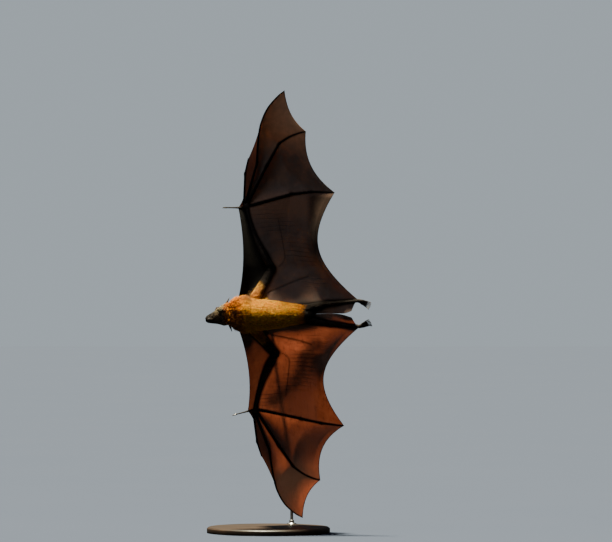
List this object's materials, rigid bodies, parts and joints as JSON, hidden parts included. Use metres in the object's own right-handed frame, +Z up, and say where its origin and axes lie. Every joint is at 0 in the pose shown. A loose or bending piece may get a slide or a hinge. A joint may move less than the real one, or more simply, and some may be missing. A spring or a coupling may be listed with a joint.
{
  "type": "flying fox bat model",
  "caption": "Life-size flying fox bat, wings spread in banked flight, seen from below on a round base with a bent rod; a still museum-style model.",
  "frame": {"origin": "middle of the round base's underside", "axes": "+Z up; the bat's nose points to -X, its tail end to +X, its belly faces -Y, its left wing points up and its right wing down"},
  "size_m": [0.4426, 0.344, 1.1784],
  "materials": {
    "membrane": "thin dark brown wing skin, slightly translucent",
    "bone_skin": "dark skin over the arm and finger bones",
    "dark_skin": "black bare skin of ears and feet",
    "gold_fur": "golden fur",
    "rust_fur": "rusty orange fur of the ruff",
    "face_fur": "short dark brown fur",
    "leg_fur": "short dark brown fur",
    "eye": "wet, dark reddish brown",
    "base_wood": "dark stained, satin",
    "steel": "brushed rod"
  },
  "bodies": {
    "root": {"torso": "gold_fur", "neck_and_ruff": "rust_fur", "head": "face_fur", "stand_base": "base_wood", "stand_rod": "steel", "eye_left": "eye", "ear_left": "dark_skin", "upper_arm_left": "gold_fur", "forearm_left": "bone_skin", "finger_2_left": "bone_skin", "finger_3_left": "bone_skin", "finger_4_left": "bone_skin", "finger_5_left": "bone_skin", "thumb_left": "bone_skin", "leg_left": "leg_fur", "foot_left": "dark_skin", "propatagium_left": "membrane", "thumb_web_left": "membrane", "membrane_2_3_left": "membrane", "membrane_3_4_left": "membrane", "membrane_4_5_left": "membrane", "plagiopatagium_left": "membrane", "tail_membrane_left": "membrane", "eye_right": "eye", "ear_right": "dark_skin", "upper_arm_right": "gold_fur", "forearm_right": "bone_skin", "finger_2_right": "bone_skin", "finger_3_right": "bone_skin", "finger_4_right": "bone_skin", "finger_5_right": "bone_skin", "thumb_right": "bone_skin", "leg_right": "leg_fur", "foot_right": "dark_skin", "propatagium_right": "membrane", "thumb_web_right": "membrane", "membrane_2_3_right": "membrane", "membrane_3_4_right": "membrane", "membrane_4_5_right": "membrane", "plagiopatagium_right": "membrane", "tail_membrane_right": "membrane"}
  },
  "joints": []
}
